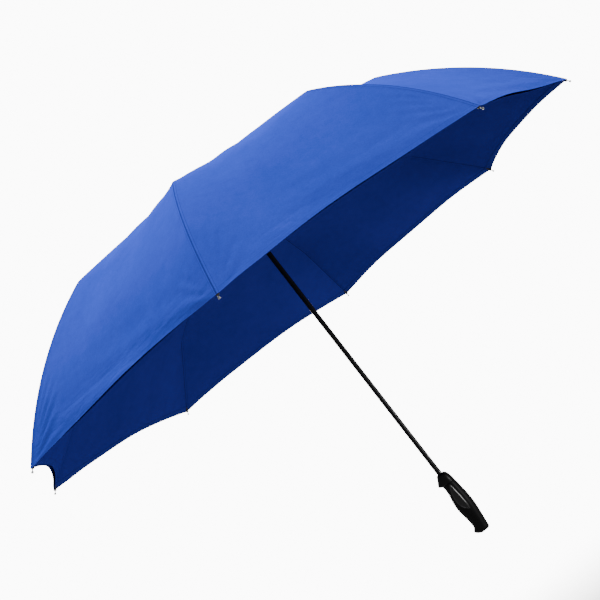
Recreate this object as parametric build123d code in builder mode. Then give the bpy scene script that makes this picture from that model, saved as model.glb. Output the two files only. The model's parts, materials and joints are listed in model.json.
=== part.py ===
"""Golf umbrella that closes inside out: eight jointed ribs between two fabric layers, on a straight shaft.

Millimetres. The origin is on the shaft's axis at the flat under the pommel, and +Z runs up the shaft.
Rib 0 lies along +X and the others follow every 45 degrees. The grip's finger side faces -X.
In each rib's own upright plane a point is (distance from the shaft's axis, height over the rim plane).
"""

import os
from math import atan2, cos, degrees, hypot, radians, sin

from build123d import *

os.makedirs("parts", exist_ok=True)

# Canopy
RIB_COUNT = 8
RIB_STEP = 360 / RIB_COUNT
RIM_RADIUS = 665
RIM_Z = 588
FABRIC = 0.6
SAG = 0.06
RIM_SAG = 0.03
HALF_STEP = radians(RIB_STEP / 2)
OUTER_HUB = (8, 314.8)
OUTER_ELBOW = (382.4, 242.7)
OUTER_BELLY = (525, 148)
OUTER_TIP = (RIM_RADIUS, 0)
OUTER_ARC_STEPS = 8
OUTER_HEM_RISE = 16
INNER_HUB = (29.5, 253.4)
INNER_KINK = (487, 123)
INNER_TIP = (640, 12)
INNER_HEM_RISE = 20

# Frame pivots
TOP_PIVOT = (18, 300)
ELBOW_PIVOT = (377, 234.5)
STRUT_PIVOT = (488, 130)
RUNNER_PIVOT = (20, 262)

# Links: pressed channels that lie beside the rib, one on each side
LINK_HEIGHT = 5
LINK_WIDTH = 2.6
LINK_WALL = 0.6
LINK_SHIFT = 4.7
SHIFT_START = 10
SHIFT_END = 34
WIRE_R = 0.8
WIRE_HOLE_R = 0.92
PIN_R = 1.25
PIN_HOLE_R = 1.32

# Outer ribs
ROD_R = 1.6
ROD_DEPTHS = (5.4, 4.6, 3)
ROD_SHARES = (0.017, 0.5, 0.99)
KNUCKLE_R = 4
KNUCKLE_HALF = 2.3
SOCKET_SHARE = 0.08
GUSSET_HALF = 1.5
GUSSET_SHARES = (0.42, 0.6)
GUSSET_EYE_R = 3.6

# Shaft, notch and runner
SHAFT_R = 5.25
SHAFT_WALL = 0.9
SHAFT_BOTTOM = 18
SHAFT_TOP = 907
NOTCH_R = 22.5
NOTCH_BOTTOM = 881
NOTCH_TOP = 897.5
SLOT_WIDTH = 3.4
RUNNER_BORE_R = 5.4
RUNNER_SLEEVE_R = 8.5
RUNNER_BOTTOM = 801
RUNNER_FLANGE_R = 25
RUNNER_FLANGE = (840, 853)

# Handle
HANDLE_TOP = 138
GRIP_TOP = 114
CORE_R = 7.5


def rib_plane(number):
    """The upright plane of one rib: x away from the shaft, y up, normal along the circle."""
    angle = radians(number * RIB_STEP)
    return Plane(origin=(0, 0, RIM_Z), x_dir=(cos(angle), sin(angle), 0), z_dir=(sin(angle), -cos(angle), 0))


def arc_through(start, middle, end):
    """Centre and radius of the circle through three points."""
    (ax, ay), (bx, by), (cx, cy) = start, middle, end
    d = 2 * (ax * (by - cy) + bx * (cy - ay) + cx * (ay - by))
    a, b, c = (x * x + y * y for x, y in (start, middle, end))
    x = (a * (by - cy) + b * (cy - ay) + c * (ay - by)) / d
    y = (a * (cx - bx) + b * (ax - cx) + c * (bx - ax)) / d
    return (x, y), hypot(ax - x, ay - y)


ARC_CENTRE, ARC_R = arc_through(OUTER_ELBOW, OUTER_BELLY, OUTER_TIP)


def on_arc(share, depth=0):
    """The point at this share of the way from the elbow to the tip, this deep under the outer layer."""
    angles = [atan2(p[1] - ARC_CENTRE[1], p[0] - ARC_CENTRE[0]) for p in (OUTER_ELBOW, OUTER_TIP)]
    angle = angles[0] + (angles[1] - angles[0]) * share
    radius = ARC_R - depth
    return (ARC_CENTRE[0] + radius * cos(angle), ARC_CENTRE[1] + radius * sin(angle))


ROD_POINTS = [on_arc(share, depth) for share, depth in zip(ROD_SHARES, ROD_DEPTHS)]


def sag_at(radius):
    """How far the fabric sags inward between ribs, as a share of the radius; less towards the rim."""
    outward = max(0, radius - OUTER_ELBOW[0]) / (RIM_RADIUS - OUTER_ELBOW[0])
    return SAG - (SAG - RIM_SAG) * outward


def ring_section(radius, height):
    """One level section of a canopy: eight arcs that sag inward between the ribs."""
    corners = [
        (radius * cos(radians(n * RIB_STEP)), radius * sin(radians(n * RIB_STEP)))
        for n in range(RIB_COUNT + 1)
    ]
    middle = radius * (cos(HALF_STEP) - sag_at(radius))
    with BuildSketch(Plane.XY.offset(RIM_Z + height)) as section:
        with BuildLine():
            for n in range(RIB_COUNT):
                angle = radians((n + 0.5) * RIB_STEP)
                ThreePointArc(corners[n], (middle * cos(angle), middle * sin(angle)), corners[n + 1])
        make_face()
    return section.sketch.face()


def canopy(profile, hub_radius, hem_rise):
    """A thin fabric layer through level sections, with a hem that rises between the ribs."""
    with BuildPart() as layer:
        loft([ring_section(r, z) for r, z in profile], ruled=True)
        loft([ring_section(r - FABRIC, z - FABRIC) for r, z in profile], ruled=True, mode=Mode.SUBTRACT)
        with BuildSketch(Plane.XY.offset(RIM_Z)):
            Circle(hub_radius)
        extrude(amount=profile[0][1] + 10, mode=Mode.SUBTRACT)
        tip_radius, tip_height = profile[-1]
        half_chord = tip_radius * sin(HALF_STEP)
        for n in range(RIB_COUNT):
            angle = radians((n + 0.5) * RIB_STEP)
            out = (cos(angle), sin(angle), 0)
            across = (-sin(angle), cos(angle), 0)
            start = Vector(*out) * (tip_radius * 0.7) + Vector(0, 0, RIM_Z + tip_height)
            with BuildSketch(Plane(origin=start, x_dir=across, z_dir=out)):
                with BuildLine():
                    ThreePointArc((-half_chord, -FABRIC), (0, hem_rise), (half_chord, -FABRIC))
                    Polyline(
                        (half_chord, -FABRIC),
                        (half_chord, -3 * FABRIC),
                        (-half_chord, -3 * FABRIC),
                        (-half_chord, -FABRIC),
                    )
                make_face()
            extrude(amount=tip_radius * 0.4, mode=Mode.SUBTRACT)
        for n in range(RIB_COUNT):
            plane = rib_plane(n)
            end = plane.from_local_coords(ROD_POINTS[2])
            before = plane.from_local_coords(on_arc(0.9, ROD_DEPTHS[2]))
            with BuildSketch(Plane(origin=end, z_dir=end - before)):
                Circle(2 * ROD_R + 0.3)
            extrude(amount=30, both=True, mode=Mode.SUBTRACT)
    return layer


def link_band(length, half_width, shift, inset):
    """Plan of a link: it leaves the hub in the rib's plane and then moves over beside the rib."""
    near, bend, straight, far = -LINK_HEIGHT + inset, SHIFT_START, SHIFT_END, length + LINK_HEIGHT - inset
    Polygon(
        (near, -half_width),
        (bend, -half_width),
        (straight, shift - half_width),
        (far, shift - half_width),
        (far, shift + half_width),
        (straight, shift + half_width),
        (bend, half_width),
        (near, half_width),
        align=None,
    )


def frame_link(number, hub, end, shift, end_hole_r):
    """One channel link from a pivot at the hub to a pivot beside the rib."""
    plane = rib_plane(number)
    start, stop = plane.from_local_coords(hub), plane.from_local_coords(end)
    length = (stop - start).length
    side = Plane(origin=start, x_dir=stop - start, z_dir=plane.z_dir)
    plan = Plane(origin=start, x_dir=side.x_dir, z_dir=side.y_dir)
    with BuildPart() as link:
        with BuildSketch(plan):
            link_band(length, LINK_WIDTH / 2, shift, 0)
        extrude(amount=LINK_HEIGHT, both=True)
        with BuildSketch(side):
            with Locations((length / 2, 0)):
                SlotCenterToCenter(length, LINK_HEIGHT)
        extrude(amount=3 * LINK_SHIFT, both=True, mode=Mode.INTERSECT)
        with BuildSketch(plan.offset(-LINK_HEIGHT)):
            link_band(length, LINK_WIDTH / 2 - LINK_WALL, shift, 3 * LINK_HEIGHT)
        extrude(amount=1.5 * LINK_HEIGHT - LINK_WALL, mode=Mode.SUBTRACT)
        with BuildSketch(side):
            Circle(WIRE_HOLE_R)
            if end_hole_r:
                with Locations((length, 0)):
                    Circle(end_hole_r)
        extrude(amount=3 * LINK_SHIFT, both=True, mode=Mode.SUBTRACT)
    return link


# Each rib set: upper link, elbow joint, rod with its gusset, lower link and tip
for number in range(RIB_COUNT):
    plane = rib_plane(number)

    upper = frame_link(number, TOP_PIVOT, ELBOW_PIVOT, LINK_SHIFT, PIN_HOLE_R)
    upper.part.label = f"upper_link_{number}"
    export_step(upper.part, f"parts/{upper.part.label}.step")

    lower = frame_link(number, RUNNER_PIVOT, STRUT_PIVOT, -LINK_SHIFT, 0)
    lower.part.label = f"lower_link_{number}"
    export_step(lower.part, f"parts/{lower.part.label}.step")

    with BuildPart() as rod:
        with BuildLine() as path:
            ThreePointArc(*[plane.from_local_coords(point) for point in ROD_POINTS])
        with BuildSketch(Plane(origin=path.line @ 0, z_dir=path.line % 0)):
            Circle(ROD_R)
        sweep()
        with BuildSketch(plane):
            with BuildLine():
                Polyline(
                    on_arc(GUSSET_SHARES[0], ROD_DEPTHS[0]),
                    on_arc(GUSSET_SHARES[1], ROD_DEPTHS[0]),
                    (STRUT_PIVOT[0] + 3.2, STRUT_PIVOT[1] - 1.2),
                    (STRUT_PIVOT[0] - 3.2, STRUT_PIVOT[1] + 1.2),
                    close=True,
                )
            make_face()
            with Locations(STRUT_PIVOT):
                Circle(GUSSET_EYE_R)
        extrude(amount=GUSSET_HALF, both=True)
        with BuildSketch(plane):
            with Locations(STRUT_PIVOT):
                Circle(PIN_R)
        extrude(amount=KNUCKLE_HALF + 0.3)
    rod.part.label = f"outer_rib_{number}"
    export_step(rod.part, f"parts/{rod.part.label}.step")

    socket_end = on_arc(SOCKET_SHARE, ROD_DEPTHS[0])
    along = (socket_end[0] - ELBOW_PIVOT[0], socket_end[1] - ELBOW_PIVOT[1])
    with BuildPart() as elbow:
        with BuildSketch(plane):
            with Locations(ELBOW_PIVOT):
                Circle(KNUCKLE_R)
            centre = ((ELBOW_PIVOT[0] + socket_end[0]) / 2, (ELBOW_PIVOT[1] + socket_end[1]) / 2)
            with Locations(Location(centre, degrees(atan2(along[1], along[0])))):
                Rectangle(hypot(*along), 2 * KNUCKLE_HALF)
        extrude(amount=KNUCKLE_HALF, both=True)
        with BuildSketch(plane):
            with Locations(ELBOW_PIVOT):
                Circle(PIN_R)
        extrude(amount=-(LINK_SHIFT + LINK_WIDTH / 2 + 1))
        with BuildSketch(plane.offset(-(LINK_SHIFT + LINK_WIDTH / 2 + 0.3))):
            with Locations(ELBOW_PIVOT):
                Circle(2.3)
        extrude(amount=-0.9)
        add(rod.part, mode=Mode.SUBTRACT)
    elbow.part.label = f"elbow_joint_{number}"
    export_step(elbow.part, f"parts/{elbow.part.label}.step")

    rod_end = path.line @ 1
    tip_plane = Plane(origin=rod_end, z_dir=path.line % 1)
    with BuildPart() as tip:
        with BuildSketch(tip_plane.offset(-9)):
            Circle(2.6)
        extrude(amount=12)
        with BuildSketch(tip_plane):
            Circle(1)
        extrude(amount=9)
        with Locations(tip_plane.offset(9.5)):
            Sphere(2.3)
        add(rod.part, mode=Mode.SUBTRACT)
    tip.part.label = f"rib_tip_{number}"
    export_step(tip.part, f"parts/{tip.part.label}.step")

# Canopy layers
outer_profile = [OUTER_HUB] + [on_arc(step / OUTER_ARC_STEPS) for step in range(OUTER_ARC_STEPS + 1)]
outer_canopy = canopy(outer_profile, SHAFT_R + 0.4, OUTER_HEM_RISE)
outer_canopy.part.label = "outer_canopy"
export_step(outer_canopy.part, "parts/outer_canopy.step")

inner_canopy = canopy([INNER_HUB, INNER_KINK, INNER_TIP], RUNNER_FLANGE_R, INNER_HEM_RISE)
inner_canopy.part.label = "inner_canopy"
export_step(inner_canopy.part, "parts/inner_canopy.step")

# Shaft: a tube with a slot in its far side for the catch that holds the runner up
CATCH_WIDTH = 2.4
CATCH_BOTTOM = 752
CATCH_TOP = RUNNER_BOTTOM - 0.5
with BuildPart() as shaft:
    with BuildSketch(Plane.XY.offset(SHAFT_BOTTOM)):
        Circle(SHAFT_R)
        Circle(SHAFT_R - SHAFT_WALL, mode=Mode.SUBTRACT)
    extrude(amount=SHAFT_TOP - SHAFT_BOTTOM)
    with BuildSketch(Plane.XY.offset(CATCH_BOTTOM)):
        with Locations((0, SHAFT_R)):
            Rectangle(CATCH_WIDTH + 0.6, 3)
    extrude(amount=CATCH_TOP - CATCH_BOTTOM + 0.3, mode=Mode.SUBTRACT)
shaft.part.label = "shaft"
export_step(shaft.part, "parts/shaft.step")

with BuildPart() as catch:
    with BuildSketch(Plane.YZ):
        Polygon(
            (SHAFT_R - 2.4, CATCH_BOTTOM + 1),
            (SHAFT_R - 1.6, CATCH_BOTTOM + 1),
            (SHAFT_R + 1.7, CATCH_TOP - 4),
            (SHAFT_R + 1.7, CATCH_TOP),
            (SHAFT_R - 2.4, CATCH_TOP),
            (SHAFT_R - 2.4, CATCH_TOP - 0.8),
            (SHAFT_R + 0.9, CATCH_TOP - 0.8),
            (SHAFT_R + 0.9, CATCH_TOP - 4),
            align=None,
        )
    extrude(amount=CATCH_WIDTH / 2, both=True)
catch.part.label = "runner_catch"
export_step(catch.part, "parts/runner_catch.step")

# Opening spring, inside the shaft: a plain sleeve with the coil's size
SPRING_SPAN = (160, 640)
with BuildPart() as opening_spring:
    with BuildSketch(Plane.XY.offset(SPRING_SPAN[0])):
        Circle(SHAFT_R - SHAFT_WALL - 0.4)
        Circle(SHAFT_R - SHAFT_WALL - 1.4, mode=Mode.SUBTRACT)
    extrude(amount=SPRING_SPAN[1] - SPRING_SPAN[0])
opening_spring.part.label = "opening_spring"
export_step(opening_spring.part, "parts/opening_spring.step")


def hub_slots(start_radius, out_radius, low, high):
    """One radial slot for each link, cut through a hub."""
    with BuildSketch(Plane.XY.offset(low)) as slots:
        with PolarLocations((start_radius + out_radius) / 2, RIB_COUNT):
            Rectangle(out_radius - start_radius, SLOT_WIDTH)
    extrude(slots.sketch, amount=high - low, mode=Mode.SUBTRACT)


# Top notch: the fixed hub, slotted from below, with the wire that the upper links turn on
TOP_WIRE_Z = RIM_Z + TOP_PIVOT[1]
with BuildPart() as notch:
    with BuildSketch(Plane.XY.offset(NOTCH_BOTTOM)):
        Circle(NOTCH_R)
        Circle(SHAFT_R, mode=Mode.SUBTRACT)
    extrude(amount=NOTCH_TOP - NOTCH_BOTTOM)
    with BuildSketch(Plane.XY.offset(NOTCH_BOTTOM - 16)):
        Circle(SHAFT_R + 3.5)
        Circle(SHAFT_R, mode=Mode.SUBTRACT)
    extrude(amount=17)
    hub_slots(TOP_PIVOT[0] - 3.4, NOTCH_R + 2, NOTCH_BOTTOM - 1, TOP_WIRE_Z + 3.2)
    with Locations((0, 0, TOP_WIRE_Z)):
        Torus(TOP_PIVOT[0], WIRE_R + 0.05, mode=Mode.SUBTRACT)
notch.part.label = "top_notch"
export_step(notch.part, "parts/top_notch.step")

with BuildPart() as notch_wire:
    with Locations((0, 0, TOP_WIRE_Z)):
        Torus(TOP_PIVOT[0], WIRE_R)
notch_wire.part.label = "notch_wire"
export_step(notch_wire.part, "parts/notch_wire.step")

# Top cap: clamps the outer layer down on the notch
CAP_BOTTOM = RIM_Z + OUTER_HUB[1] + 0.3
CAP_R = 17
CAP_HEIGHT = 7.5
with BuildPart() as cap:
    with BuildSketch(Plane.XY.offset(CAP_BOTTOM)):
        Circle(CAP_R)
    extrude(amount=CAP_HEIGHT)
    fillet(cap.faces().sort_by(Axis.Z)[-1].edges(), CAP_HEIGHT * 0.6)
    with BuildSketch(Plane.XY.offset(CAP_BOTTOM)):
        Circle(SHAFT_R)
    extrude(amount=SHAFT_TOP - CAP_BOTTOM, mode=Mode.SUBTRACT)
cap.part.label = "top_cap"
export_step(cap.part, "parts/top_cap.step")

# Runner: sleeve and slotted flange, with the wire that the lower links turn on
RUNNER_WIRE_Z = RIM_Z + RUNNER_PIVOT[1]
with BuildPart() as runner:
    with BuildSketch(Plane.XY.offset(RUNNER_FLANGE[0])):
        Circle(RUNNER_FLANGE_R)
    extrude(amount=RUNNER_FLANGE[1] - RUNNER_FLANGE[0])
    with BuildSketch(Plane.XY.offset(RUNNER_BOTTOM)):
        Circle(RUNNER_SLEEVE_R)
    extrude(amount=RUNNER_FLANGE[0] - RUNNER_BOTTOM)
    with BuildSketch(Plane.XY.offset(RUNNER_BOTTOM)):
        Circle(RUNNER_SLEEVE_R + 2.5)
    extrude(amount=6)
    with BuildSketch(Plane.XY.offset(RUNNER_BOTTOM)):
        Circle(RUNNER_BORE_R)
    extrude(amount=RUNNER_FLANGE[1] - RUNNER_BOTTOM, mode=Mode.SUBTRACT)
    hub_slots(RUNNER_PIVOT[0] - 3.4, RUNNER_FLANGE_R + 2, RUNNER_WIRE_Z - 4.2, RUNNER_FLANGE[1] + 1)
    with Locations((0, 0, RUNNER_WIRE_Z)):
        Torus(RUNNER_PIVOT[0], WIRE_R + 0.05, mode=Mode.SUBTRACT)
runner.part.label = "runner"
export_step(runner.part, "parts/runner.step")

with BuildPart() as runner_wire:
    with Locations((0, 0, RUNNER_WIRE_Z)):
        Torus(RUNNER_PIVOT[0], WIRE_R)
runner_wire.part.label = "runner_wire"
export_step(runner_wire.part, "parts/runner_wire.step")

# Handle core: the hard tube that the shaft is fixed in
CORE_BOTTOM = 14
with BuildPart() as core:
    with BuildSketch(Plane.XY.offset(CORE_BOTTOM)):
        Circle(CORE_R)
    extrude(amount=GRIP_TOP - CORE_BOTTOM)
    with BuildSketch(Plane.XY.offset(SHAFT_BOTTOM)):
        Circle(SHAFT_R)
    extrude(amount=GRIP_TOP - SHAFT_BOTTOM, mode=Mode.SUBTRACT)
core.part.label = "handle_core"
export_step(core.part, "parts/handle_core.step")

# Grip sections, from the collar down: height, front (finger side), back, half depth
GRIP_SECTIONS = [
    (GRIP_TOP, -12.5, 17, 13.2),
    (105, -11.2, 18, 13.4),
    (93, -12, 19, 13.8),
    (80, -14.8, 20.7, 14.4),
    (68, -16, 21, 14.6),
    (56, -15.8, 21, 14.5),
    (43, -13.9, 20, 13.9),
    (30, -12, 18.2, 13.2),
    (19, -11.6, 16.8, 12.8),
    (10, -16.6, 15.6, 13),
    (5, -15, 15.3, 12.2),
    (1.5, -10.5, 14.2, 10.4),
    (0, -6, 12.8, 9),
]


def ellipse_loft(sections, extra):
    """A body through level ellipses, given by front, back and half depth, and grown by a margin."""
    faces = []
    for z, front, back, half_depth in sections:
        with BuildSketch(Plane.XY.offset(z)) as section:
            with Locations(((front + back) / 2, 0)):
                Ellipse((back - front) / 2 + extra, half_depth + extra)
        faces.append(section.sketch.face())
    loft(faces)


# Side inserts: a raised leaf-shaped panel on each side of the grip
INSERT_RAISE = 0.6
INSERT_DEPTH = 9.5
with BuildPart() as inserts:
    ellipse_loft(GRIP_SECTIONS, INSERT_RAISE)
    with BuildSketch(Plane.XZ):
        with BuildLine():
            ThreePointArc((2, 105), (12.5, 80), (4, 54))
            ThreePointArc((4, 54), (-7, 76), (2, 105))
        make_face()
    extrude(amount=40, both=True, mode=Mode.INTERSECT)
    with BuildSketch(Plane.XZ):
        Rectangle(80, 400)
    extrude(amount=INSERT_DEPTH, both=True, mode=Mode.SUBTRACT)
inserts.part.label = "side_inserts"
export_step(inserts.part, "parts/side_inserts.step")

with BuildPart() as grip:
    ellipse_loft(GRIP_SECTIONS, 0)
    with BuildSketch(Plane.XY.offset(CORE_BOTTOM)):
        Circle(CORE_R)
    extrude(amount=GRIP_TOP - CORE_BOTTOM, mode=Mode.SUBTRACT)
    add(inserts.part, mode=Mode.SUBTRACT)
grip.part.label = "handle_grip"
export_step(grip.part, "parts/handle_grip.step")

# Collar with the finger guard, and the push button in its far side
COLLAR_SECTIONS = [
    (GRIP_TOP, -15.8, 17, 13.6),
    (119, -18.9, 16.4, 13.4),
    (125, -15.2, 15.6, 12.8),
    (131, -11.8, 13.8, 11.8),
    (HANDLE_TOP, -8.2, 8.4, 8.2),
]
BUTTON_Z = 124
BUTTON_SIZE = (8, 6)
BUTTON_GAP = 0.35
BUTTON_SPAN = (10.2, 15.6)
POCKET_FLOOR = 6.8
with BuildPart() as collar:
    ellipse_loft(COLLAR_SECTIONS, 0)
    with BuildSketch(Plane.XY.offset(GRIP_TOP)):
        Circle(SHAFT_R)
    extrude(amount=HANDLE_TOP - GRIP_TOP, mode=Mode.SUBTRACT)
    with BuildSketch(Plane.XZ.offset(-POCKET_FLOOR)):
        with Locations((0, BUTTON_Z)):
            RectangleRounded(BUTTON_SIZE[0] + 2 * BUTTON_GAP, BUTTON_SIZE[1] + 2 * BUTTON_GAP, 2)
    extrude(amount=-20, mode=Mode.SUBTRACT)
collar.part.label = "handle_collar"
export_step(collar.part, "parts/handle_collar.step")

with BuildPart() as button:
    with BuildSketch(Plane.XZ.offset(-BUTTON_SPAN[0])):
        with Locations((0, BUTTON_Z)):
            RectangleRounded(*BUTTON_SIZE, 1.7)
    extrude(amount=-(BUTTON_SPAN[1] - BUTTON_SPAN[0]))
    fillet(button.faces().sort_by(Axis.Y)[-1].edges(), 0.8)
button.part.label = "push_button"
export_step(button.part, "parts/push_button.step")

with BuildPart() as button_spring:
    with BuildSketch(Plane.XZ.offset(-POCKET_FLOOR)):
        with Locations((0, BUTTON_Z)):
            Circle(2.4)
            Circle(1.6, mode=Mode.SUBTRACT)
    extrude(amount=-(BUTTON_SPAN[0] - POCKET_FLOOR - 0.1))
button_spring.part.label = "button_spring"
export_step(button_spring.part, "parts/button_spring.step")
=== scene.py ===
import json
from math import atan2, cos, hypot, pi, radians, sin

import bmesh
import bpy
import numpy as np
from mathutils import Matrix, Vector


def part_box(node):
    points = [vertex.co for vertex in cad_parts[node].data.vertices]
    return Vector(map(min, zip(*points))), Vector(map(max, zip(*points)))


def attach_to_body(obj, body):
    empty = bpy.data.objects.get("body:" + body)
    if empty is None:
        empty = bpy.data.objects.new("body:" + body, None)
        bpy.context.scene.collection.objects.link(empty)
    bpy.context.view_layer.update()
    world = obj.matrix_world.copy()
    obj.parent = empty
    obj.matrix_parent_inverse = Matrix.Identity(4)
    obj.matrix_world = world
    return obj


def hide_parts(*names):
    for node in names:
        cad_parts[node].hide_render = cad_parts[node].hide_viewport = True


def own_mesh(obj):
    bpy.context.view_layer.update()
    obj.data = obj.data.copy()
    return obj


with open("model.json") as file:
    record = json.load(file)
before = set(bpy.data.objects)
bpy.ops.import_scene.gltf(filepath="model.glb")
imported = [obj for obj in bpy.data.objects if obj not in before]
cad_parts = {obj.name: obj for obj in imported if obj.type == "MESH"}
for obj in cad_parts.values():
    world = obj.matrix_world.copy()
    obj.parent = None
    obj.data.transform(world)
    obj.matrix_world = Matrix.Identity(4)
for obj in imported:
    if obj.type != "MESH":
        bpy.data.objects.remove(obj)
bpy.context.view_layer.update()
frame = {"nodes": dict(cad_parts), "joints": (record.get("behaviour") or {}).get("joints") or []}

# ---------------------------------------------------------------------------------------------
# Sizes in metres, in the frame's own axes. A rib's own plane is (distance from the axis, height
# over the rim plane); rib 0 is along +X and the others follow every 45 degrees.
# ---------------------------------------------------------------------------------------------
RIBS = 8
STEP = 2 * pi / RIBS
RIM_R = 0.665
RIM_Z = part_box("outer_canopy")[1][2] - 0.3148

OUTER_HUB_R = 0.0235
ELBOW = (0.3824, 0.2427)
BELLY = (0.525, 0.148)
RIDGE_SLOPE = 0.19
RIDGE_BOW = 0.004
SAG = 0.06
RIM_SAG = 0.018
SEAM_ROUND = 0.0015
MIDDLE_ROUND = 0.020
OUTER_HEM_LIFT = 0.0145

INNER_HUB_R = 0.031
KINK = (0.487, 0.123)
INNER_TIP = (0.6605, 0.0034)
INNER_SLOPE = 0.285
INNER_HEM_LIFT = 0.0172

HEM_FOLD = 0.009
HEM_DEPTH = 0.0007
HEM_LIP = 0.0002
HEM_BACKS = (HEM_LIP, 0.0006, 0.003, 0.006, HEM_FOLD)
HEM_CROWDING = 1.5

joints = {j["name"]: j for j in frame["joints"]}


def hinge_in_plane(name):
    """A rib 0 hinge as (distance from the axis, height over the rim plane)."""
    x, _, z = joints[name]["pos_m"]
    return x, z - RIM_Z


TOP_PIVOT = hinge_in_plane("upper_link_0_hinge")
ELBOW_PIVOT = hinge_in_plane("elbow_0_hinge")
RUNNER_PIVOT = hinge_in_plane("lower_link_0_hinge")


def circle_through(a, b, c):
    """Centre and radius of the circle through three points of a rib's plane."""
    d = 2 * (a[0] * (b[1] - c[1]) + b[0] * (c[1] - a[1]) + c[0] * (a[1] - b[1]))
    sa, sb, sc = (p[0] ** 2 + p[1] ** 2 for p in (a, b, c))
    x = (sa * (b[1] - c[1]) + sb * (c[1] - a[1]) + sc * (a[1] - b[1])) / d
    z = (sa * (c[0] - b[0]) + sb * (a[0] - c[0]) + sc * (b[0] - a[0])) / d
    return (x, z), hypot(a[0] - x, a[1] - z)


ARC_CENTRE, ARC_R = circle_through(ELBOW, BELLY, (RIM_R, 0))


# ---------------------------------------------------------------------------------------------
# Materials
# ---------------------------------------------------------------------------------------------
def new_material(name):
    """An empty node material with its Principled shader."""
    material = bpy.data.materials.new(name)
    material.use_nodes = True
    nodes = material.node_tree.nodes
    return material, nodes, material.node_tree.links, nodes["Principled BSDF"]


def math_node(nodes, links, operation, a, b=None, c=None, clamp=False):
    """A Math node over values or sockets; returns its output socket."""
    node = nodes.new("ShaderNodeMath")
    node.operation = operation
    node.use_clamp = clamp
    for socket, value in zip(node.inputs, (a, b, c)):
        if value is None:
            continue
        if isinstance(value, (int, float)):
            socket.default_value = value
        else:
            links.new(value, socket)
    return node.outputs[0]


def attribute(nodes, name):
    """A float mesh attribute's value."""
    node = nodes.new("ShaderNodeAttribute")
    node.attribute_name = name
    return node.outputs["Fac"]


def noise(nodes, links, vector, scale, detail, stretch=None):
    """A Noise texture's value over a vector, stretched by three factors if given."""
    if stretch:
        mapping = nodes.new("ShaderNodeMapping")
        mapping.inputs["Scale"].default_value = stretch
        links.new(vector, mapping.inputs["Vector"])
        vector = mapping.outputs["Vector"]
    node = nodes.new("ShaderNodeTexNoise")
    node.inputs["Scale"].default_value = scale
    node.inputs["Detail"].default_value = detail
    links.new(vector, node.inputs["Vector"])
    return node.outputs["Fac"]


def mix_colour(nodes, links, factor, a, b):
    """A colour mix of two colours or sockets."""
    node = nodes.new("ShaderNodeMix")
    node.data_type = "RGBA"
    for socket, value in ((node.inputs[0], factor), (node.inputs[6], a), (node.inputs[7], b)):
        if isinstance(value, tuple):
            socket.default_value = (*value, 1)
        elif isinstance(value, (int, float)):
            socket.default_value = value
        else:
            links.new(value, socket)
    return node.outputs[2]


def bump(nodes, links, height, distance, strength, normal=None):
    """A Bump node over a height socket, on top of another normal if given."""
    node = nodes.new("ShaderNodeBump")
    node.inputs["Distance"].default_value = distance
    node.inputs["Strength"].default_value = strength
    links.new(height, node.inputs["Height"])
    if normal is not None:
        links.new(normal, node.inputs["Normal"])
    return node.outputs["Normal"]


def smooth_range(nodes, links, value, low, high, to_low, to_high):
    """A smooth step of a socket from one range to another; returns its output socket."""
    node = nodes.new("ShaderNodeMapRange")
    node.interpolation_type = "SMOOTHSTEP"
    for label, number in (("From Min", low), ("From Max", high), ("To Min", to_low), ("To Max", to_high)):
        node.inputs[label].default_value = number
    links.new(value, node.inputs["Value"])
    return node.outputs["Result"]


# Cloth details in metres. A seam's places are measured from its middle, and a hem's from its edge, but
# the hem's thread from the inner end of its fold.
WEAVE_PITCH = 0.0009
WEAVE_DEPTH = 0.00006
CRUMPLE_DEPTH = 0.0022
CREASE_DEPTH = 0.0042
CREASE_REACH = 0.07
STITCH_PITCH = 0.0045
STITCH_SHARE = 0.62
SEAM_HALF = 0.0042
# The seam's middle crease is painted darker as shade out to this distance; from there to the seam's half width its
# flanks are painted lighter as highlight.
SEAM_CREASE_SHADE = 0.0011
# A painted shade line this wide runs along each outer edge of the seam.
SEAM_EDGE_SHADE = 0.0008
SEAM_THREAD = (0.0026, 0.0033)
# A painted highlight this wide runs along the hem's folded edge.
HEM_EDGE_HIGHLIGHT = 0.0014
HEM_THREAD = (0.0022, 0.0012)
# Scales of the cloth's noise textures. The creases are finer along the rib than across it, and slant.
CLOUD_SCALE = 5.0
STREAK_SCALE = 60.0
GRAIN_SCALE = 420.0
CRUMPLE_SCALE = 26.0
CREASE_SCALE = 13.0
CREASE_STRETCH = (0.8, 7.5, 3.0)
CREASE_SLANT = 0.18
UNDERSIDE = (0.013, 0.019, 0.17)


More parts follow.
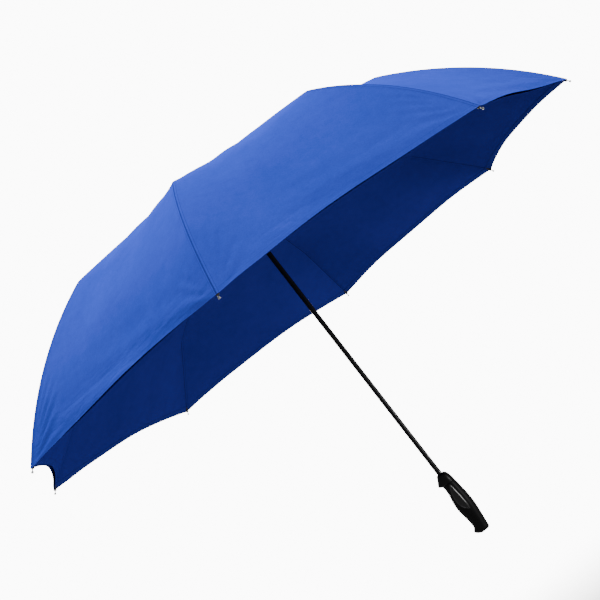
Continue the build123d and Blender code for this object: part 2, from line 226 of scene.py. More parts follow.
def cloth_material(name, colour, dark, light, rough):
    """Pongee: fine plain weave, a felled seam along each rib with painted shade in its middle crease and along its
    edges and painted highlight on its flanks, a stitched hem with painted highlight along its folded edge, and soft
    cloudy tone.
    """
    material, nodes, links, shader = new_material(name)
    place = nodes.new("ShaderNodeTexCoord").outputs["Object"]
    seam = attribute(nodes, "seam_gap")
    hem = attribute(nodes, "hem_gap")

    def calc(operation, a, b, c=None, clamp=False):
        """A Math node of this material."""
        return math_node(nodes, links, operation, a, b, c, clamp)

    def band(value, low, high):
        """1 between low and high, and 0 outside."""
        return calc("MULTIPLY", calc("GREATER_THAN", value, low), calc("LESS_THAN", value, high))

    def over(base, mask, share, top):
        """The base colour with a share of another over a mask."""
        return mix_colour(nodes, links, calc("MULTIPLY", mask, share), base, top)

    def darker(factor):
        """The dark colour, darkened further, for the seam's painted shade."""
        return tuple(factor * c for c in dark)

    cloud = noise(nodes, links, place, CLOUD_SCALE, 4.0)
    streak = noise(nodes, links, place, STREAK_SCALE, 3.0)
    grain = noise(nodes, links, place, GRAIN_SCALE, 2.0)
    tone = calc("MULTIPLY_ADD", streak, 0.2, calc("MULTIPLY", grain, 0.35))
    tone = calc("MULTIPLY_ADD", cloud, 0.45, tone)
    base = mix_colour(nodes, links, calc("MULTIPLY_ADD", tone, 2.6, -0.8, clamp=True), dark, light)
    base = mix_colour(nodes, links, 0.3, base, colour)

    stitches = calc("DIVIDE", attribute(nodes, "seam_run"), STITCH_PITCH)
    dashes = calc("LESS_THAN", math_node(nodes, links, "FRACT", stitches), STITCH_SHARE)
    # Painted highlight on the seam's flanks and painted shade in its middle crease
    base = over(base, band(seam, SEAM_CREASE_SHADE, SEAM_HALF), 0.3, light)
    base = over(base, calc("LESS_THAN", seam, SEAM_CREASE_SHADE), 0.7, darker(0.45))
    # Painted shade along the seam's outer edges
    base = over(base, band(seam, SEAM_HALF, SEAM_HALF + SEAM_EDGE_SHADE), 0.6, darker(0.6))
    base = over(base, calc("MULTIPLY", band(seam, *SEAM_THREAD), dashes), 0.4, dark)
    base = over(base, band(hem, HEM_FOLD - HEM_THREAD[0], HEM_FOLD - HEM_THREAD[1]), 0.45, dark)
    # Painted highlight along the hem's folded edge
    base = over(base, calc("LESS_THAN", hem, HEM_EDGE_HIGHLIGHT), 0.3, light)
    base = mix_colour(nodes, links, attribute(nodes, "inside"), base, UNDERSIDE)
    links.new(base, shader.inputs["Base Color"])

    lay = nodes.new("ShaderNodeCombineXYZ")
    slanted = calc("MULTIPLY_ADD", attribute(nodes, "weft"), CREASE_SLANT, attribute(nodes, "warp"))
    links.new(slanted, lay.inputs[0])
    links.new(attribute(nodes, "weft"), lay.inputs[1])
    links.new(calc("MULTIPLY", cloud, 0.25), lay.inputs[2])
    creases = noise(nodes, links, lay.outputs[0], CREASE_SCALE, 4.0, stretch=CREASE_STRETCH)
    near_hem = smooth_range(nodes, links, hem, 0.0, CREASE_REACH, 1.0, 0.05)
    creases = calc("MULTIPLY", creases, near_hem)

    threads = [
        math_node(nodes, links, "SINE", calc("MULTIPLY", attribute(nodes, direction), 2 * pi / WEAVE_PITCH))
        for direction in ("warp", "weft")
    ]
    crumple = noise(nodes, links, place, CRUMPLE_SCALE, 5.0)
    normal = bump(nodes, links, calc("MULTIPLY", *threads), WEAVE_DEPTH, 0.5)
    normal = bump(nodes, links, crumple, CRUMPLE_DEPTH, 0.4, normal)
    normal = bump(nodes, links, creases, CREASE_DEPTH, 0.6, normal)
    links.new(normal, shader.inputs["Normal"])
    links.new(calc("MULTIPLY_ADD", streak, 0.14, rough - 0.07), shader.inputs["Roughness"])
    shader.inputs["Specular IOR Level"].default_value = 0.0
    return material


def hard_material(name, colour, rough, grain, depth=0.00004, spread=0.1, gloss=0.5, metallic=0.0):
    """Moulded, painted or bare metal surface with fine grain and slightly uneven gloss."""
    material, nodes, links, shader = new_material(name)
    place = nodes.new("ShaderNodeTexCoord").outputs["Object"]
    coarse = noise(nodes, links, place, grain, 4.0)
    fine = noise(nodes, links, place, grain * 12, 2.0)
    lighter = tuple(min(1.0, c * 1.35 + 0.001) for c in colour)
    darker = tuple(c * 0.75 for c in colour)
    links.new(mix_colour(nodes, links, coarse, darker, lighter), shader.inputs["Base Color"])
    uneven = math_node(nodes, links, "MULTIPLY_ADD", coarse, spread, rough - spread / 2)
    links.new(uneven, shader.inputs["Roughness"])
    links.new(bump(nodes, links, fine, depth, 0.5), shader.inputs["Normal"])
    shader.inputs["Metallic"].default_value = metallic
    shader.inputs["Specular IOR Level"].default_value = gloss
    return material


outer_cloth = cloth_material(
    "outer_cloth", colour=(0.041, 0.078, 0.60), dark=(0.030, 0.060, 0.48), light=(0.060, 0.106, 0.76), rough=0.68
)
inner_cloth = cloth_material(
    "inner_cloth", colour=(0.0125, 0.0165, 0.165), dark=(0.009, 0.0125, 0.127), light=(0.018, 0.024, 0.22), rough=0.74
)

PAINT_BLACK = (0.004, 0.004, 0.0045)
GRIP_BLACK = (0.002, 0.002, 0.0022)
shaft_paint = hard_material("shaft_paint", PAINT_BLACK, 0.2, 40, depth=0.000005, spread=0.03, gloss=0.1)
link_paint = hard_material("link_paint", (0.012, 0.012, 0.013), 0.38, 90, metallic=0.3)
rod_gloss = hard_material("rod_gloss", (0.008, 0.008, 0.009), 0.3, 200)
nylon = hard_material("nylon", (0.008, 0.008, 0.0085), 0.48, 120, depth=0.00008, gloss=0.35)
steel = hard_material("steel", (0.24, 0.25, 0.26), 0.28, 150, metallic=1.0)
grip_rubber = hard_material("grip_rubber", GRIP_BLACK, 0.42, 70, depth=0.00005, spread=0.14, gloss=0.09)
collar_gloss = hard_material("collar_gloss", GRIP_BLACK, 0.3, 50, depth=0.00003, gloss=0.12)
insert_gloss = hard_material(
    "insert_gloss", (0.0012, 0.0012, 0.0014), 0.22, 50, depth=0.00001, spread=0.04, gloss=0.34
)
cap_gloss = hard_material("cap_gloss", PAINT_BLACK, 0.24, 60, depth=0.00002, gloss=0.45)

CAD_MATERIALS = {
    "shaft": shaft_paint, "runner_catch": steel, "opening_spring": steel, "button_spring": steel,
    "top_notch": nylon, "runner": nylon, "notch_wire": steel, "runner_wire": steel,
    "handle_core": nylon, "push_button": collar_gloss,
}
for n in range(RIBS):
    CAD_MATERIALS[f"upper_link_{n}"] = link_paint
    CAD_MATERIALS[f"lower_link_{n}"] = link_paint
    CAD_MATERIALS[f"outer_rib_{n}"] = rod_gloss
    CAD_MATERIALS[f"elbow_joint_{n}"] = nylon

for node_name, material in CAD_MATERIALS.items():
    node = frame["nodes"][node_name]
    node.data.materials.clear()
    node.data.materials.append(material)


# ---------------------------------------------------------------------------------------------
# Canopy surfaces
# ---------------------------------------------------------------------------------------------
def smooth_min(a, b, width):
    """The lower of two curves, rounded over a width where they cross."""
    h = np.clip(0.5 + 0.5 * (b - a) / width, 0, 1)
    return b * (1 - h) + a * h - width * h * (1 - h)


ARC_FROM_R = 0.25
ARC_LEAST_REACH = 0.12
ARC_ABSENT = 0.05


def outer_height(r, width):
    """The outer layer over a rib: an almost straight ridge, a corner at the elbow, and an arc to the tip."""
    share = np.clip(r / ELBOW[0], 0, 2)
    ridge = ELBOW[1] + RIDGE_SLOPE * (ELBOW[0] - r) + RIDGE_BOW * np.sin(pi * np.clip(share, 0, 1))
    reach = np.maximum(r - ARC_CENTRE[0], ARC_LEAST_REACH)
    arc = ARC_CENTRE[1] + np.sqrt(np.maximum(ARC_R**2 - reach**2, 0))
    return smooth_min(ridge, np.where(r < ARC_FROM_R, ridge + ARC_ABSENT, arc), width)


def inner_height(r, width):
    """The inner layer under a rib: straight from the runner to the kink, then straight to the tip."""
    fall = (KINK[1] - INNER_TIP[1]) / (INNER_TIP[0] - KINK[0])
    near = KINK[1] + INNER_SLOPE * (KINK[0] - r)
    far = KINK[1] - fall * (r - KINK[0])
    return smooth_min(near, far, width)


rng = np.random.default_rng(7)
GORE_PHASES = rng.uniform(0, 2 * pi, (RIBS, 4))
# Where the wrinkles start, and the heights of the four kinds
WRINKLE_START_R = 0.38
PUCKER = 0.0026
SLACK = 0.0020
SLANT = 0.0011
RIDGE_EASE = 0.0012
# The short folds fan out from each tip; distances are shares of the gore's length and width
FAN_LENGTH = 0.9
FAN_WIDTH = 2.2
FAN_FOLDS = 21
FAN_FADE = 2.6


def wrinkles(gore, share, r, hem_r, gathered):
    """How far the cloth stands off its smooth surface.

    share is 0 and 1 at the gore's two ribs, and gathered scales the short folds at the tips.
    """
    phases = GORE_PHASES[gore % RIBS]
    across = 4 * share * (1 - share)
    end = np.minimum(share, 1 - share)
    reach = np.clip((r - WRINKLE_START_R) / (hem_r - WRINKLE_START_R), 0, 1.02)
    spread = np.hypot((1 - reach) * FAN_LENGTH, end * FAN_WIDTH)
    tip = np.clip(1 - spread * FAN_FADE, 0, 1)
    fan = np.arctan2(end * FAN_WIDTH + 1e-6, (1 - reach) * FAN_LENGTH + 1e-6)
    folds = np.sin(FAN_FOLDS * fan + phases[0] + np.where(share > 0.5, 1.7, 0))
    fade = np.clip(end * 18, 0, 1) * np.clip(spread * 5 - 0.12, 0, 1)
    pucker = PUCKER * gathered * folds * tip * fade
    slack = SLACK * np.sin(9.0 * reach + 5.0 * share + phases[1]) * across * reach**2
    slant = SLANT * np.sin(46 * reach - 9 * share + phases[2]) * across * reach**8 * (0.5 + share)
    ridge = np.sin(6 * share * pi + phases[3]) * across * (1 - reach) * np.clip(r / 0.2, 0, 1)
    return pucker + slack + slant + RIDGE_EASE * ridge


class Layer:
    """One fabric layer: its rib profile, its hem, and whether it has short folds at the tips."""

    def __init__(self, height, tip_r, hem_lift, gathered):
        self.height = height
        self.tip_r = tip_r
        self.hem_lift = hem_lift
        self.gathered = gathered

    def hem_radius(self, share):
        """The rib radius whose level section the hem meets at this share of the gore."""
        return self.tip_r * (1 - self.hem_lift * 4 * share * (1 - share))

    def smooth_point(self, gore, share, r):
        """A point of the smooth surface; gore g lies between ribs g and g + 1."""
        a, b, mid = gore * STEP, (gore + 1) * STEP, (gore + 0.5) * STEP
        across = 4 * share * (1 - share)
        outward = np.maximum(0, r - ELBOW[0]) / (RIM_R - ELBOW[0])
        inward = (SAG - (SAG - RIM_SAG) * outward) * r * across
        x = r * (cos(a) * (1 - share) + cos(b) * share) - inward * cos(mid)
        y = r * (sin(a) * (1 - share) + sin(b) * share) - inward * sin(mid)
        width = SEAM_ROUND + MIDDLE_ROUND * across
        return np.stack([x, y, self.height(r, width) + RIM_Z + 0 * x], axis=-1)

    def normal(self, gore, share, r):
        """The unit normal, pointing up and out."""
        step = 1e-4
        after, before = np.clip(share + step, 0, 1), np.clip(share - step, 0, 1)
        du = self.smooth_point(gore, after, r) - self.smooth_point(gore, before, r)
        dv = self.smooth_point(gore, share, r + step) - self.smooth_point(gore, share, r - step)
        n = np.cross(dv, du)
        n /= np.linalg.norm(n, axis=-1, keepdims=True)
        return np.where(n[..., 2:3] < 0, -n, n)

    def point(self, gore, share, r, depth=0.0):
        """A point of the wrinkled cloth, this deep under its upper face."""
        offset = wrinkles(gore, share, r, self.hem_radius(share), self.gathered) - depth
        return self.smooth_point(gore, share, r) + self.normal(gore, share, r) * np.asarray(offset)[..., None]


outer_layer = Layer(outer_height, RIM_R, OUTER_HEM_LIFT, 1)
inner_layer = Layer(inner_height, INNER_TIP[0], INNER_HEM_LIFT, 0)


SEAM_SHARES = (0, 0.0018, 0.0060, 0.0085)
PAST_SEAM_SHARE = 0.012
SHARE_CROWDING = 1.35


def share_grid(columns):
    """Shares of the gore from its rib to its middle, closer together beside the seam."""
    base = np.linspace(0, 1, columns) ** SHARE_CROWDING * 0.5
    return np.unique(np.concatenate([SEAM_SHARES, base[base > PAST_SEAM_SHARE]]))


def mesh_object(name, points, faces, material, smooth=True):
    """A mesh object from points and faces, in the frame's own axes."""
    mesh = bpy.data.meshes.new(name)
    mesh.from_pydata([tuple(p) for p in points], [], faces)
    mesh.materials.append(material)
    mesh.polygons.foreach_set("use_smooth", [smooth] * len(faces))
    mesh.update()
    obj = bpy.data.objects.new(name, mesh)
    bpy.context.scene.collection.objects.link(obj)
    return obj


def grid_faces(rows, columns, flip=False):
    """Quads over a grid of rows and columns."""
    faces = []
    for i in range(rows - 1):
        for j in range(columns - 1):
            quad = (i * columns + j, i * columns + j + 1, (i + 1) * columns + j + 1, (i + 1) * columns + j)
            faces.append(quad[::-1] if flip else quad)
    return faces


def write_attributes(obj, columns):
    """Writes float point attributes, each a name and its values."""
    for label, values in columns.items():
        data = obj.data.attributes.new(label, "FLOAT", "POINT")
        data.data.foreach_set("value", np.asarray(values, np.float32))


def path_length(points):
    """The length of a line of points."""
    return float(np.linalg.norm(np.diff(points, axis=0), axis=1).sum())


SEAM_RAISE = 0.0005
SEAM_RAMP = 0.0006
LAST_ROW = 0.9985
# Lengths along the cloth for each metre of radius, over the whole gore and near the hem
RUN_PER_R = 1.12
HEM_PER_R = 1.25


def cloth_sector(name, layer, rib, starts, ends, rows, columns, material, hem=False):
    """The cloth on both sides of one rib, between two radii, with its seam and, if asked, its folded hem.

    Returns the piece and its flat size: its width at its widest row and its length along the seam.
    """
    right = share_grid(columns)
    left = (1 - right)[::-1]
    halves = [((rib - 1) % RIBS, left), (rib, right[1:])]
    crowding = HEM_CROWDING if hem else 1
    levels = np.append((1 - (1 - np.linspace(0, 1, rows - 1)) ** crowding) * LAST_ROW, 1)
    folds = [(HEM_LIP, 0.0), (0.0, HEM_DEPTH * 0.5), *((back, HEM_DEPTH) for back in HEM_BACKS)] if hem else []
    lines = []
    columns_of = {label: [] for label in ("seam_gap", "seam_run", "hem_gap", "warp", "weft", "inside")}
    for index in range(rows + len(folds)):
        row = []
        for gore, shares in halves:
            low, high = starts(layer, shares), ends(layer, shares)
            if index < rows:
                r, depth = low + (high - low) * levels[index], 0.0
            else:
                back, depth = folds[index - rows]
                r = high - back
            chord = 2 * r * sin(STEP / 2)
            gap = np.minimum(shares, 1 - shares) * chord
            raised = SEAM_RAISE * np.clip((SEAM_HALF - gap) / SEAM_RAMP, 0, 1)
            row.append(layer.point(gore, shares, r, depth - raised))
            columns_of["seam_gap"].append(gap)
            columns_of["seam_run"].append(r * RUN_PER_R)
            columns_of["hem_gap"].append((layer.hem_radius(shares) - r) * HEM_PER_R)
            columns_of["warp"].append((shares - 0.5) * chord)
            columns_of["weft"].append(r * RUN_PER_R)
            columns_of["inside"].append(np.full(len(shares), float(index > rows)))
        lines.append(np.concatenate(row))
    grid = np.stack(lines)
    faces = grid_faces(grid.shape[0], grid.shape[1], flip=True)
    obj = mesh_object(name, grid.reshape(-1, 3), faces, material)
    write_attributes(obj, {label: np.concatenate(values) for label, values in columns_of.items()})
    width = max(path_length(row) for row in grid)
    length = path_length(grid[:, len(left) - 1])
    return obj, (width, length)


def constant(radius):
    """A radius that is the same all the way across a gore."""
    return lambda layer, share: np.full(np.shape(share), radius)


def to_hem(layer, share):
    """The layer's hem."""
    return layer.hem_radius(share)


def in_frame(rib, point):
    """A point of a rib's plane in the frame's own axes."""
    return (point[0] * cos(rib * STEP), point[0] * sin(rib * STEP), point[1] + RIM_Z)


def declare_sheet(node):
    """Hides the CAD node that a piece of cloth replaces."""
    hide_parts(node)


def attach(piece, body, node):
    """Rides a hard piece on its body, in place of a CAD node."""
    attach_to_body(piece, body)
    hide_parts(node)


# How much of its width each piece would keep when the umbrella is closed; carried with each piece but not applied
# here
SIDE_KEEP = 0.29
TOP_KEEP = 0.11
# The inner layer from the runner out: name, start and end radius, rows, and the share of its width kept
INNER_BANDS = (
    ("inner_neck", INNER_HUB_R, 0.048, 4, 0.86),
    ("inner_gather", 0.048, 0.080, 5, 0.66),
    ("inner_fold", 0.080, 0.150, 8, 0.48),
    ("inner_top", 0.150, KINK[0], 24, 0.29),
)
hub_r, elbow_r, kink_r = (constant(radius) for radius in (OUTER_HUB_R, ELBOW[0], KINK[0]))
for rib in range(RIBS):
    upper, outer, lower = f"upper_link_{rib}", f"outer_rib_{rib}", f"lower_link_{rib}"
    top, top_flat = cloth_sector(
        f"outer_top_{rib}", outer_layer, rib, hub_r, elbow_r, rows=26, columns=22, material=outer_cloth
    )
    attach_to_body(top, upper)
    side, side_flat = cloth_sector(
        f"outer_side_{rib}", outer_layer, rib, elbow_r, to_hem, rows=54, columns=34, material=outer_cloth, hem=True
    )
    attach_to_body(side, outer)
    inner = []
    for name, low_r, high_r, rows, keep in INNER_BANDS:
        starts, ends = constant(low_r), constant(high_r)
        band, flat = cloth_sector(
            f"{name}_{rib}", inner_layer, rib, starts, ends, rows, columns=22, material=inner_cloth
        )
        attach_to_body(band, lower)
        inner.append((band, flat, keep, RUNNER_PIVOT))
    skirt, skirt_flat = cloth_sector(
        f"inner_side_{rib}", inner_layer, rib, kink_r, to_hem, rows=34, columns=34, material=inner_cloth, hem=True
    )
    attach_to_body(skirt, outer)
    inner.append((skirt, skirt_flat, SIDE_KEEP, ELBOW_PIVOT))
    cloth = [(top, top_flat, TOP_KEEP, TOP_PIVOT), (side, side_flat, SIDE_KEEP, ELBOW_PIVOT), *inner]
    for piece, _, keep, anchor in cloth:
        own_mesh(piece)
    for piece, flat, _, _ in cloth[:2]:
        declare_sheet("outer_canopy")
    for piece, flat, _, _ in inner:
        declare_sheet("inner_canopy")


# Round patches that close the two layers at the shaft
PATCH_COLUMNS = 8


def ring_patch(name, layer, radii, lift, inner_circle, material):
    """A ring of cloth about the shaft, through level rings of the layer; the first is a true circle."""
    shares = np.linspace(0, 1, PATCH_COLUMNS + 1)[:-1]
    rings = []
    for index, r in enumerate(radii):
        for gore in range(RIBS):
            p = layer.smooth_point(gore, shares, np.full(PATCH_COLUMNS, r))
            if index == 0:
                p[:, :2] *= inner_circle / np.linalg.norm(p[:, :2], axis=1, keepdims=True)
            p[:, 2] += lift
            rings.append(p)
    around = PATCH_COLUMNS * RIBS
    faces = [
        (i * around + j, i * around + (j + 1) % around, (i + 1) * around + (j + 1) % around, (i + 1) * around + j)
        for i in range(len(radii) - 1)
        for j in range(around)
    ]
    obj = mesh_object(name, np.concatenate(rings), faces, material)
    # hem_gap is zero at the outermost ring, so the cloth's painted hem highlight runs along it too
    gaps = [(max(radii) - r) * 1.1 for r in radii]
    per_ring = {"seam_gap": [0.02] * len(radii), "seam_run": radii, "hem_gap": gaps, "warp": radii, "weft": radii}
    write_attributes(obj, {label: np.repeat(values, around) for label, values in per_ring.items()})
    return obj


CROWN_RADII = [0.0066, 0.010, 0.015, 0.020, 0.0245, 0.0258, 0.0262]
HUB_RADII = [0.0285, 0.0300, 0.0325, 0.0360, 0.0395]
crown = ring_patch("crown_patch", outer_layer, CROWN_RADII, lift=0.0006, inner_circle=0.0057, material=outer_cloth)
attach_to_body(crown, "frame")
declare_sheet("outer_canopy")
hub_patch = ring_patch("hub_patch", inner_layer, HUB_RADII, lift=-0.0007, inner_circle=0.0251, material=inner_cloth)
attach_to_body(hub_patch, "runner")
declare_sheet("inner_canopy")


# ---------------------------------------------------------------------------------------------
# Turned pieces: rib tips and crown cap
# ---------------------------------------------------------------------------------------------
def lathe(name, profile, origin, axis, material, segments=28):
    """A turned piece: a profile of (radius, distance along the axis) from an origin."""
    axis = Vector(axis).normalized()
    side = axis.orthogonal().normalized()
    other = axis.cross(side)
    points, faces = [], []
    for radius, along in profile:
        for k in range(segments):
            a = 2 * pi * k / segments
            points.append(Vector(origin) + axis * along + (side * cos(a) + other * sin(a)) * max(radius, 1e-5))
    for i in range(len(profile) - 1):
        for k in range(segments):
            n = (k + 1) % segments
            faces.append((i * segments + k, i * segments + n, (i + 1) * segments + n, (i + 1) * segments + k))
    obj = mesh_object(name, points, faces, material)
    build = bmesh.new()
    build.from_mesh(obj.data)
    bmesh.ops.remove_doubles(build, verts=build.verts, dist=3e-5)
    bmesh.ops.recalc_face_normals(build, faces=build.faces)
    build.to_mesh(obj.data)
    build.free()
    return obj


BALL_R = 0.0023
PIN_R = 0.0010
NECK_ANGLE = 0.45
ROD_END_DEPTH = 0.003
ROD_END_SHARE = 0.99
# Profiles are (radius, distance along the axis)
PLUG_PROFILE = [
    (0.0018, -0.0092), (0.0024, -0.0090), (0.0026, -0.0085), (0.0026, 0.0008), (0.0029, 0.0011),
    (0.0030, 0.0016), (0.0030, 0.0024), (0.0027, 0.0030), (0.0019, 0.0033), (0.0010, 0.0034),
]
CAP_PROFILE = [
    (0.0054, 0.0), (0.0160, 0.0), (0.0167, 0.0004), (0.0170, 0.0010), (0.0170, 0.0026), (0.0166, 0.0034),
    (0.0158, 0.0042), (0.0138, 0.0055), (0.0110, 0.0064), (0.0072, 0.0071), (0.0068, 0.0070),
    (0.0062, 0.0068), (0.0056, 0.0070),
]

elbow_angle, rim_angle = (atan2(p[1] - ARC_CENTRE[1], p[0] - ARC_CENTRE[0]) for p in (ELBOW, (RIM_R, 0)))
end_angle = elbow_angle + (rim_angle - elbow_angle) * ROD_END_SHARE
rod_end_r = ARC_R - ROD_END_DEPTH
rod_end = (ARC_CENTRE[0] + rod_end_r * cos(end_angle), ARC_CENTRE[1] + rod_end_r * sin(end_angle))
tip_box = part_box("rib_tip_0")
ball = (tip_box[1][0] - BALL_R, tip_box[0][2] - RIM_Z + BALL_R)
pin_reach = hypot(ball[0] - rod_end[0], ball[1] - rod_end[1])
turned = [(BALL_R * sin(t), pin_reach - BALL_R * cos(t)) for t in np.linspace(NECK_ANGLE, pi, 14)]
pin_profile = [(PIN_R, 0.0030), (PIN_R, pin_reach - BALL_R * cos(NECK_ANGLE) - 0.0002)] + turned
for rib in range(RIBS):
    start = Vector(in_frame(rib, rod_end))
    along = Vector(in_frame(rib, ball)) - start
    plug = lathe(f"tip_plug_{rib}", PLUG_PROFILE, start, along, nylon)
    pin = lathe(f"tip_ball_{rib}", pin_profile, start, along, steel)
    for piece in (plug, pin):
        attach(piece, f"outer_rib_{rib}", f"rib_tip_{rib}")

cap_low, cap_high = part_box("top_cap")[0][2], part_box("top_cap")[1][2]
cap_rise = cap_high - cap_low
cap_button = [(0.0050, cap_rise - 0.0002), (0.0030, cap_rise), (0.0, cap_rise)]
cap = lathe("crown_cap", CAP_PROFILE + cap_button, (0, 0, cap_low), (0, 0, 1), cap_gloss, segments=64)
attach(cap, "frame", "top_cap")


# ---------------------------------------------------------------------------------------------
# Handle: grip and collar lofted through level sections, and the side inserts
# ---------------------------------------------------------------------------------------------
def smooth_sections(rows, step, spread):
    """Sections (height, front, back, half depth) resampled at a step and smoothed over a spread."""
    rows = np.array(sorted(rows)) / 1000
    heights = np.arange(rows[0, 0], rows[-1, 0] + step / 2, step)
    reach = int(3 * spread / step) + 1
    kernel = np.exp(-0.5 * (np.arange(-reach, reach + 1) * step / spread) ** 2)
    kernel /= kernel.sum()
    columns = []
    for column in rows[:, 1:].T:
        dense = np.interp(heights, rows[:, 0], column)
        before, after = 2 * dense[0] - dense[reach:0:-1], 2 * dense[-1] - dense[-2:-reach - 2:-1]
        padded = np.concatenate([before, dense, after])
        columns.append(np.convolve(padded, kernel, mode="valid"))
    return np.stack([heights, *columns], axis=1)


SQUARENESS = 2.25


def rounded(value):
    """A cosine or sine bent to the superellipse's shape."""
    return np.sign(value) * abs(value) ** (2 / SQUARENESS)


def loft(name, sections, material, segments=72):
    """A closed body through level superellipse sections, each a height, front, back and half depth."""
    points, faces = [], []
    for z, front, back, half in sections:
        middle, reach = (front + back) / 2, (back - front) / 2
        for k in range(segments):
            a = 2 * pi * k / segments
            points.append((middle + reach * rounded(cos(a)), half * rounded(sin(a)), z))
    for i in range(len(sections) - 1):
        for k in range(segments):
            n = (k + 1) % segments
            faces.append((i * segments + k, i * segments + n, (i + 1) * segments + n, (i + 1) * segments + k))
    faces.append(tuple(range(segments))[::-1])
    faces.append(tuple((len(sections) - 1) * segments + k for k in range(segments)))
    obj = mesh_object(name, points, faces, material)
    for polygon in obj.data.polygons:
        if len(polygon.vertices) > 4:
            polygon.use_smooth = False
    return obj


# Sections in millimetres: height, front, back and half depth
GRIP = smooth_sections([
    (113.4, -12.2, 16.6, 13.0), (111, -11.6, 17.2, 13.3), (105, -10.8, 18, 13.4), (93, -11.8, 19, 13.8),
    (80, -14.5, 20.6, 14.4), (68, -15.8, 21, 14.6), (57, -15.6, 21, 14.5), (43.5, -13.7, 20, 13.9),
    (30, -11.8, 18.4, 13.2), (19, -11.2, 17, 12.8), (14, -12.8, 16.4, 12.8), (10.5, -16.4, 16, 12.9),
    (8.5, -17.2, 15.9, 12.9), (6, -15.6, 15.8, 12.7), (3, -12.5, 15.4, 11.8), (1, -9.0, 14.2, 10.4),
    (0, -6.5, 12.9, 9.2),
], step=0.0008, spread=0.0014)
COLLAR = smooth_sections([
    (114.4, -13.6, 16.6, 13.2), (115.5, -16.4, 16.9, 13.4), (117.5, -18.6, 16.7, 13.4), (119.5, -18.7, 16.3, 13.3),
    (123, -16.6, 15.8, 13), (127, -14.0, 14.9, 12.5), (131, -11.8, 13.7, 11.8), (135, -9.9, 11.4, 10.4),
    (137.2, -8.6, 9.2, 8.9), (138, -7.4, 7.8, 7.6),
], step=0.0004, spread=0.0008)


def rolled(section, rise, inset):
    """A section moved along the axis and drawn in all round, for a rounded rim."""
    return section + np.array([rise, inset, -inset, -inset])


grip_rim = [rolled(GRIP[-1], 0.0003, 0.0003), rolled(GRIP[-1], 0.0005, 0.0009)]
grip = loft("grip", np.vstack([GRIP, grip_rim]), grip_rubber)
collar_rim = [rolled(COLLAR[0], -0.0006, 0.0010), rolled(COLLAR[0], -0.0003, 0.0003)]
collar = loft("collar", np.vstack([collar_rim, COLLAR]), collar_gloss)
attach(grip, "frame", "handle_grip")
attach(collar, "frame", "handle_collar")


def grip_side(x, z):
    """The half depth of the grip's surface at a place seen from its side."""
    front, back, half = (np.interp(z, GRIP[:, 0], GRIP[:, k]) for k in (1, 2, 3))
    share = np.clip(abs(x - (front + back) / 2) / ((back - front) / 2), 0, 0.999)
    return half * (1 - share**SQUARENESS) ** (1 / SQUARENESS)


# The insert's outline in millimetres: height, front edge and back edge
LEAF = np.array([
    (112.5, 3.8, 5.0), (108, 0.6, 6.4), (102, -2.4, 7.6), (94, -5.2, 8.7), (84, -7.2, 9.8), (74, -7.4, 10.7),
    (66, -5.6, 11.2), (60, -2.4, 11.2), (55, 2.0, 10.6), (51.5, 6.2, 9.4), (50, 7.8, 8.2),
])[::-1] / 1000
INSERT_RAISE = 0.0016
INSERT_SINK = 0.0005
INSERT_EDGE = 0.0048
heights = np.linspace(LEAF[0, 0], LEAF[-1, 0], 70)
across = np.concatenate([np.linspace(0, 0.4, 12), np.linspace(0.45, 0.55, 3), np.linspace(0.6, 1, 12)])
for side, label in ((-1, "left"), (1, "right")):
    points = []
    for z in heights:
        front, back = (np.interp(z, LEAF[:, 0], LEAF[:, k]) for k in (1, 2))
        from_end = min(z - heights[0], heights[-1] - z)
        for u in across:
            x = front + (back - front) * u
            from_edge = min(u, 1 - u) * (back - front)
            share = np.clip(min(from_edge / INSERT_EDGE, from_end / INSERT_EDGE), 0, 1)
            rise = (INSERT_RAISE + INSERT_SINK) * sin(share * pi / 2) - INSERT_SINK
            points.append((x, side * (grip_side(x, z) + rise), z))
    faces = grid_faces(len(heights), len(across), flip=side < 0)
    insert = mesh_object(f"insert_{label}", points, faces, insert_gloss)
    attach(insert, "frame", "side_inserts")


# ---------------------------------------------------------------------------------------------
# Camera, light and floor
# ---------------------------------------------------------------------------------------------
CAMERA_DISTANCE = 3.504 * RIM_R
CAMERA_RISE = radians(-6.373)
CAMERA_TURN = radians(8.24)
CAMERA_ROLL = radians(37.81)
CAMERA_TILT = radians(-0.314)
LENS_MM = 69.81
SENSOR_MM = 36

rim_centre = Vector((0, 0, RIM_Z))
turn = Matrix.Rotation(CAMERA_TURN, 3, "Z")
from_rim = turn @ Vector((0, -cos(CAMERA_RISE), sin(CAMERA_RISE))) * CAMERA_DISTANCE
ahead = -from_rim.normalized()
level_right = ahead.cross(Vector((0, 0, 1))).normalized()
level_up = level_right.cross(ahead)
right = level_right * cos(CAMERA_ROLL) - level_up * sin(CAMERA_ROLL)
rolled_up = level_right * sin(CAMERA_ROLL) + level_up * cos(CAMERA_ROLL)
up = rolled_up * cos(CAMERA_TILT) - ahead * sin(CAMERA_TILT)
sight = rolled_up * sin(CAMERA_TILT) + ahead * cos(CAMERA_TILT)

camera_data = bpy.data.cameras.new("camera")
camera_data.lens = LENS_MM
camera_data.sensor_width = SENSOR_MM
camera_data.clip_end = 60
camera = bpy.data.objects.new("camera", camera_data)
axes = Matrix((right, up, -sight)).transposed()
camera.matrix_world = Matrix.Translation(from_rim + rim_centre) @ axes.to_4x4()
bpy.context.scene.collection.objects.link(camera)
bpy.context.scene.camera = camera

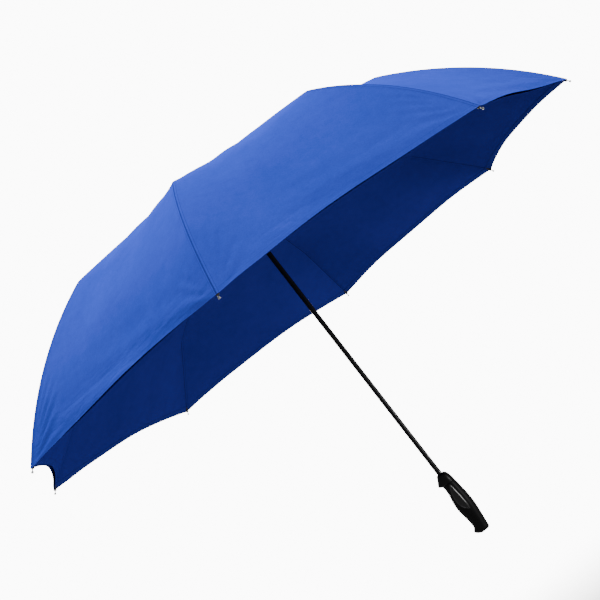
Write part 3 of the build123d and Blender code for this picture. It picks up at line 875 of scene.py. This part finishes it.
# Even light all round, and a bright patch behind the object as the camera sees it
AMBIENT = 0.52
BACKDROP = 11.0
BACKDROP_OUTER = radians(26)
BACKDROP_INNER = radians(21.5)
world = bpy.data.worlds.new("studio")
bpy.context.scene.world = world
world.use_nodes = True
world_nodes, world_links = world.node_tree.nodes, world.node_tree.links
facing = world_nodes.new("ShaderNodeVectorMath")
facing.operation = "DOT_PRODUCT"
facing.inputs[1].default_value = ahead
world_links.new(world_nodes.new("ShaderNodeTexCoord").outputs["Generated"], facing.inputs[0])
glow = smooth_range(
    world_nodes, world_links, facing.outputs["Value"], cos(BACKDROP_OUTER), cos(BACKDROP_INNER), AMBIENT, BACKDROP
)
world_links.new(glow, world_nodes["Background"].inputs["Strength"])
world_nodes["Background"].inputs["Color"].default_value = (1, 1, 1, 1)


def area_light(name, offset, size, watts):
    """A soft square lamp that faces the rim's middle, offset from it (right, up, ahead) as the camera sees it."""
    data = bpy.data.lights.new(name, "AREA")
    data.size = size
    data.energy = watts
    lamp = bpy.data.objects.new(name, data)
    lamp.location = rim_centre + right * offset[0] + up * offset[1] + ahead * offset[2]
    lamp.rotation_euler = (rim_centre - lamp.location).to_track_quat("-Z", "Y").to_euler()
    bpy.context.scene.collection.objects.link(lamp)


area_light("key", (-2.3, 2.2, 2.0), size=1.8, watts=350)
area_light("glint", (1.9, 1.2, -2.0), size=0.45, watts=38)
area_light("fill", (2.4, -0.4, -2.6), size=2.0, watts=9)

# The floor fades out, so that no edge of it crosses the view
FLOOR_Z = -0.35
FLOOR_R = 1.2
FLOOR_SOLID_R = 0.2
FLOOR_SEGMENTS = 96
floor_paint, floor_nodes, floor_links, floor_shader = new_material("floor_paint")
floor_shader.inputs["Base Color"].default_value = (0.8, 0.8, 0.8, 1)
floor_shader.inputs["Roughness"].default_value = 0.9
far = floor_nodes.new("ShaderNodeVectorMath")
far.operation = "LENGTH"
floor_links.new(floor_nodes.new("ShaderNodeTexCoord").outputs["Object"], far.inputs[0])
fade = smooth_range(floor_nodes, floor_links, far.outputs["Value"], FLOOR_SOLID_R, FLOOR_R, 1.0, 0.0)
floor_links.new(fade, floor_shader.inputs["Alpha"])
angles = np.linspace(0, 2 * pi, FLOOR_SEGMENTS + 1)[:-1]
floor_points = [(0, 0, 0)] + [(FLOOR_R * cos(a), FLOOR_R * sin(a), 0) for a in angles]
floor_faces = [(0, 1 + k, 1 + (k + 1) % FLOOR_SEGMENTS) for k in range(FLOOR_SEGMENTS)]
floor = mesh_object("floor", floor_points, floor_faces, floor_paint, smooth=False)
floor.location = (0, 0, FLOOR_Z)
